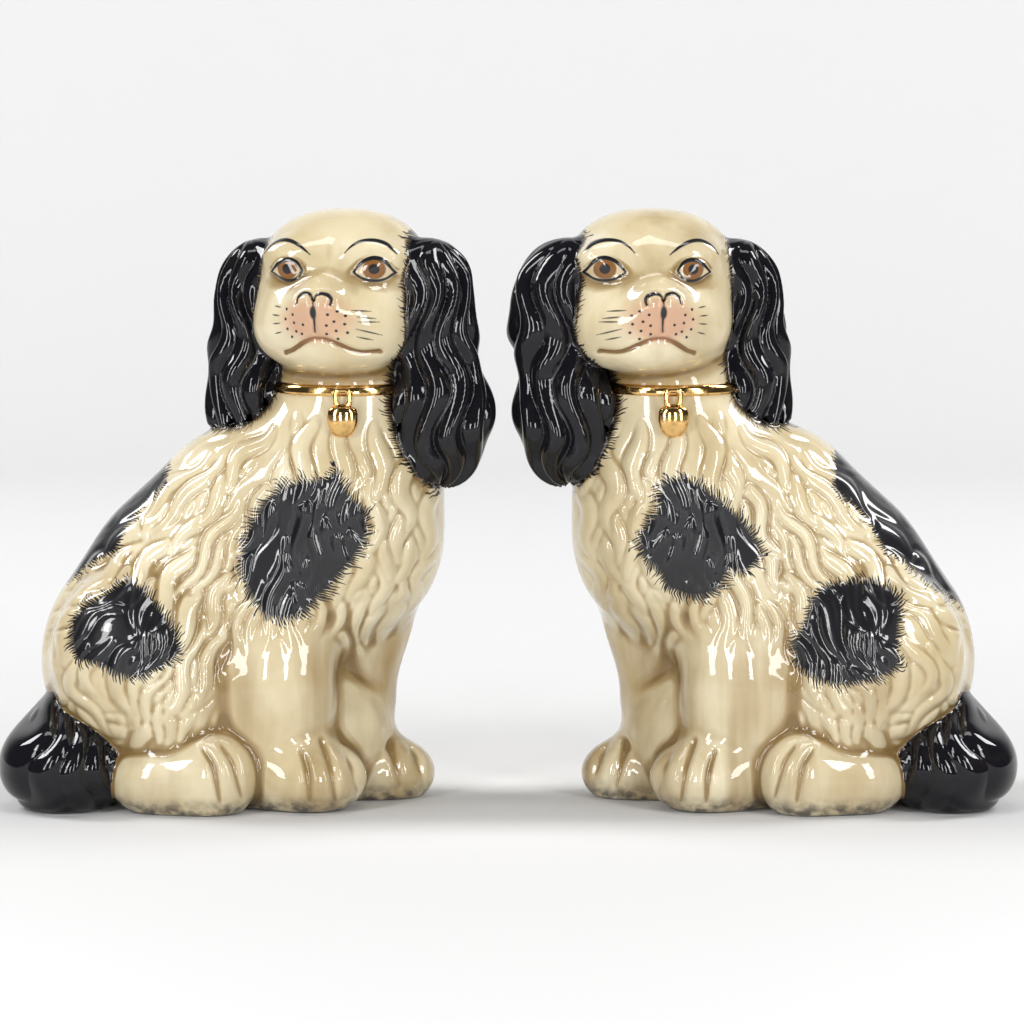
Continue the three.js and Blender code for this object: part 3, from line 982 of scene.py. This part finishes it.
class Shader:
    """A node tree that is built up from small calls."""

    def __init__(self, name):
        self.material = bpy.data.materials.new(name)
        self.material.use_nodes = True
        self.nodes = self.material.node_tree.nodes
        self.links = self.material.node_tree.links
        self.surface = self.nodes["Principled BSDF"]

    def put(self, value, socket):
        if isinstance(value, bpy.types.NodeSocket):
            self.links.new(value, socket)
        else:
            socket.default_value = value

    def math(self, operation, a, b=0.0, clamp=False):
        node = self.nodes.new("ShaderNodeMath")
        node.operation, node.use_clamp = operation, clamp
        self.put(a, node.inputs[0])
        self.put(b, node.inputs[1])
        return node.outputs[0]

    def times(self, a, b, clamp=False):
        return self.math("MULTIPLY", a, b, clamp)

    def plus(self, a, b):
        return self.math("ADD", a, b)

    def minus(self, a, b, clamp=False):
        return self.math("SUBTRACT", a, b, clamp)

    def below(self, value, edge, soft):
        """1 where a value is under an edge, with a soft step on both sides of it."""
        return self.ramp(value, edge - soft, edge + soft, 1.0, 0.0)

    def ramp(self, value, low, high, to_low=0.0, to_high=1.0):
        node = self.nodes.new("ShaderNodeMapRange")
        self.put(value, node.inputs["Value"])
        for key, number in (("From Min", low), ("From Max", high), ("To Min", to_low), ("To Max", to_high)):
            node.inputs[key].default_value = number
        return node.outputs["Result"]

    def attribute(self, name):
        node = self.nodes.new("ShaderNodeAttribute")
        node.attribute_name = name
        return node.outputs["Fac"]

    def mix(self, factor, a, b):
        node = self.nodes.new("ShaderNodeMix")
        node.data_type = "RGBA"
        self.put(factor, node.inputs["Factor"])
        for value, key in ((a, "A"), (b, "B")):
            socket = next(s for s in node.inputs if s.name == key and s.type == "RGBA")
            self.put(value if isinstance(value, bpy.types.NodeSocket) else (*value, 1.0), socket)
        return next(s for s in node.outputs if s.type == "RGBA")

    def noise(self, scale, detail=3.0, stretch=(1, 1, 1)):
        where = self.nodes.new("ShaderNodeTexCoord").outputs["Object"]
        turn = self.nodes.new("ShaderNodeMapping")
        turn.inputs["Scale"].default_value = stretch
        self.put(where, turn.inputs["Vector"])
        node = self.nodes.new("ShaderNodeTexNoise")
        self.put(turn.outputs[0], node.inputs["Vector"])
        node.inputs["Scale"].default_value = scale
        node.inputs["Detail"].default_value = detail
        return node.outputs["Fac"]

    def bump(self, height, strength, distance):
        node = self.nodes.new("ShaderNodeBump")
        node.inputs["Strength"].default_value = strength
        node.inputs["Distance"].default_value = distance
        self.put(height, node.inputs["Height"])
        self.put(node.outputs["Normal"], self.surface.inputs["Normal"])

    def set(self, **values):
        for key, value in values.items():
            self.put(value, self.surface.inputs[key.replace("_", " ")])


CREAM = (0.50, 0.41, 0.245)
PALE = (0.64, 0.57, 0.40)
TAN = (0.24, 0.15, 0.048)
BROWN = (0.13, 0.075, 0.02)
BLACK = (0.006, 0.006, 0.008)
RUST = (0.17, 0.055, 0.02)
PINK = (0.50, 0.27, 0.17)
EYE_WHITE = (0.52, 0.41, 0.26)
AMBER = (0.19, 0.075, 0.015)
SMOKE = (0.05, 0.042, 0.035)


def fringe_layer(s, paint, strand, reach, width, seed, thick):
    """One layer of brush strokes across the edge of a patch: cells along it, each with its own length."""
    cells = s.math("DIVIDE", s.plus(strand, seed * 1.37), width)
    number = s.math("FLOOR", cells)
    random = s.nodes.new("ShaderNodeTexWhiteNoise")
    random.noise_dimensions = "1D"
    s.put(s.plus(number, seed * 17.0), random.inputs["W"])
    chance = random.outputs["Value"]
    length = s.times(reach, s.plus(s.times(chance, 0.8), 0.2))
    left = s.minus(1.0, s.math("DIVIDE", paint, length), clamp=True)
    half = s.times(s.math("POWER", left, 0.45), thick)
    shift = s.times(s.minus(chance, 0.5), 0.3)
    across = s.math("ABSOLUTE", s.minus(s.plus(s.math("FRACT", cells), shift), 0.5))
    gap = s.minus(across, half)
    return s.times(s.below(gap, 0.0, 0.08), s.ramp(left, 0.0, 0.12), clamp=True)


def cream_glaze():
    s = Shader("cream_glaze")
    paint, strand, reach = (s.attribute(name) for name in ("paint", "strand", "fringe"))
    sway = s.times(s.minus(s.noise(140.0, 1.0), 0.5), 4.0)
    strand = s.plus(strand, s.times(paint, 0.45))
    strand = s.plus(strand, sway)
    wander = s.times(s.minus(s.noise(90.0, 2.0), 0.5), 2.0)
    edge = s.plus(paint, s.times(wander, s.ramp(reach, 0.5, 4.0)))
    solid = s.below(edge, 0.0, 0.2)
    coarse = fringe_layer(s, paint, strand, reach, 1.5, 1.0, 0.34)
    fine = fringe_layer(s, paint, strand, s.times(reach, 0.6), 0.9, 5.0, 0.4)
    black = s.math("MAXIMUM", solid, s.math("MAXIMUM", coarse, fine))

    mottle = s.noise(26.0, 4.0)
    # Pooled glaze and painted shade: tan, and brown in the deepest places, from the creases, the broad
    # hollows and where pressings meet; the stretched noise adds tan stains of the glaze itself.
    pooled_glaze_and_shade = s.attribute("pooled_glaze_and_shade")
    base = s.mix(s.ramp(mottle, 0.35, 0.7), CREAM, PALE)
    tan_stain_and_shade = s.times(s.ramp(pooled_glaze_and_shade, 0.03, 0.3), s.ramp(mottle, 0.2, 0.6, 0.65, 1.0))
    stain = s.ramp(s.noise(34.0, 4.0, (1, 1, 0.35)), 0.5, 0.7, 0.0, 0.5)
    tan_stain_and_shade = s.math("MAXIMUM", tan_stain_and_shade, stain)
    base = s.mix(s.times(tan_stain_and_shade, 0.85), base, TAN)
    base = s.mix(s.ramp(pooled_glaze_and_shade, 0.3, 0.8, 0.0, 0.8), base, BROWN)
    streaks = s.ramp(s.noise(42.0, 4.0, (1, 1, 0.12)), 0.42, 0.68)
    base = s.mix(s.times(s.times(s.attribute("leg"), streaks), 0.7), base, TAN)
    foot = s.times(s.attribute("foot"), s.ramp(s.noise(160.0, 4.0), 0.35, 0.6), clamp=True)
    base = s.mix(s.times(foot, 0.95, clamp=True), base, SMOKE)
    base = s.mix(s.times(s.attribute("blush"), s.ramp(mottle, 0.2, 0.7, 0.55, 0.95)), base, PINK)
    white = s.below(s.attribute("white"), 0.0, 0.2)
    iris = s.attribute("iris")
    eye = s.mix(s.below(iris, 0.0, 0.25), EYE_WHITE, AMBER)
    eye = s.mix(s.times(s.below(s.math("ABSOLUTE", iris), 0.35, 0.25), 0.8), eye, BROWN)
    eye = s.mix(s.below(iris, PUPIL_RADIUS - IRIS_RADIUS, 0.3), eye, BLACK)
    base = s.mix(white, base, eye)
    base = s.mix(s.times(s.below(s.attribute("lip"), 0.0, 0.3), 0.85), base, RUST)
    ink = s.below(s.attribute("ink"), 0.0, 0.22)
    black = s.math("MAXIMUM", black, ink)
    base = s.mix(black, base, BLACK)
    s.set(Base_Color=base, Roughness=0.4, Specular_IOR_Level=0.15, Coat_Weight=1.0, Coat_Roughness=0.04,
          Coat_IOR=1.46)
    s.bump(s.noise(45.0, 2.0), 0.3, 0.0006)
    return s.material


def black_glaze():
    s = Shader("black_glaze")
    thin = s.ramp(s.noise(120.0, 4.0), 0.55, 0.8, 0.0, 0.5)
    s.set(Base_Color=s.mix(thin, BLACK, (0.02, 0.014, 0.012)), Roughness=0.4, Specular_IOR_Level=0.0,
          Coat_Weight=1.0, Coat_Roughness=0.04, Coat_IOR=1.4)
    s.bump(s.noise(70.0, 3.0), 0.3, 0.0005)
    return s.material


def bare_clay():
    s = Shader("bare_clay")
    base = s.mix(s.noise(60.0, 5.0), (0.36, 0.25, 0.14), (0.55, 0.43, 0.28))
    s.set(Base_Color=base, Roughness=0.7)
    s.bump(s.noise(700.0, 4.0), 0.4, 0.0003)
    return s.material


def gilding():
    s = Shader("gilding")
    worn = s.ramp(s.noise(220.0, 4.0), 0.5, 0.75)
    s.set(Base_Color=s.mix(worn, (0.80, 0.50, 0.18), (0.46, 0.26, 0.08)), Metallic=1.0,
          Roughness=s.ramp(worn, 0.0, 1.0, 0.12, 0.28), Coat_Weight=0.4, Coat_Roughness=0.05)
    s.bump(s.noise(260.0, 3.0), 0.3, 0.0003)
    return s.material


MATERIALS = {
    "cream_glaze": cream_glaze(),
    "black_glaze": black_glaze(),
    "bare_clay": bare_clay(),
    "gilding": gilding(),
}

for dog_side in DOGS:
    clay_pieces(dog_side, MATERIALS)
    collar(dog_side, MATERIALS["gilding"])
    padlock(dog_side, MATERIALS["gilding"])
    shackle(dog_side, MATERIALS["gilding"])

# ---- studio


def pale_stage():
    """A pale sweep: a floor that curves up into a backdrop."""
    s = Shader("pale_paper")
    s.set(Base_Color=(0.55, 0.55, 0.55, 1.0), Roughness=0.9, Specular_IOR_Level=0.1)
    depth, radius, height, half = 1.6, 0.9, 3.2, 5.0
    profile = [(-4.0, 0.0), (depth, 0.0)]
    for step in range(1, 13):
        a = math.pi / 2 * step / 12
        profile.append((depth + radius * math.sin(a), radius * (1 - math.cos(a))))
    profile.append((depth + radius, height))
    points = [(side * half, y, z - 0.0001) for side in (-1, 1) for y, z in profile]
    count = len(profile)
    quads = np.array([(i, i + 1, i + 1 + count, i + count) for i in range(count - 1)])[:, ::-1]
    sweep = mesh_object("paper_sweep", points, quads.ravel(), np.full(len(quads), 4), s.material)


def softbox(name, at, size, power, aim):
    light = bpy.data.lights.new(name, "AREA")
    light.shape, light.size, light.size_y = "RECTANGLE", size[0], size[1]
    light.energy = power
    lamp = bpy.data.objects.new(name, light)
    lamp.location = at
    lamp.visible_camera = False
    direction = np.array(aim) - np.array(at)
    lamp.rotation_euler = Vector(direction).to_track_quat("-Z", "Y").to_euler()
    bpy.context.scene.collection.objects.link(lamp)


DOGS_MIDDLE, PAPER_MIDDLE = (0, 0, 0.15), (0, 2.2, 0.5)
# Each lamp's name, place, size, power in watts and aim. A lamp off the middle has a twin on the left.
SOFTBOXES = [
    ("box", (1.3, -1.5, 1.25), (0.32, 0.75), 12, DOGS_MIDDLE),
    ("top_box", (0.0, -0.2, 1.9), (1.2, 0.4), 9, DOGS_MIDDLE),
    ("window", (0.62, -0.66, 0.30), (0.12, 0.42), 2.2, DOGS_MIDDLE),
    ("near_window", (0.30, -1.15, 0.26), (0.11, 0.40), 2.6, DOGS_MIDDLE),
    ("paper_light", (1.7, 0.5, 1.7), (1.0, 1.0), 60, PAPER_MIDDLE),
]

pale_stage()
for name, (x, y, z), size, power, aim in SOFTBOXES:
    for lamp_side in (-1, 1) if x else (1,):
        softbox(f"{name}_{lamp_side}", (lamp_side * x, y, z), size, power, aim)

world = bpy.data.worlds.new("studio")
world.use_nodes = True
sky = world.node_tree.nodes["Background"].inputs
sky["Color"].default_value, sky["Strength"].default_value = (0.9, 0.92, 0.95, 1), 0.05
bpy.context.scene.world = world
bpy.context.scene.view_settings.view_transform = "Standard"

camera_data = bpy.data.cameras.new("camera")
camera_data.sensor_width, camera_data.lens = 36, 177
camera = bpy.data.objects.new("camera", camera_data)
bpy.context.scene.collection.objects.link(camera)
target, reach, rise = Vector((0.002, 0, 0.1484)), 2.6, math.radians(6.5)
camera.location = target + Vector((0, -reach * math.cos(rise), reach * math.sin(rise)))
camera.rotation_euler = (target - camera.location).to_track_quat("-Z", "Y").to_euler()
bpy.context.scene.camera = camera
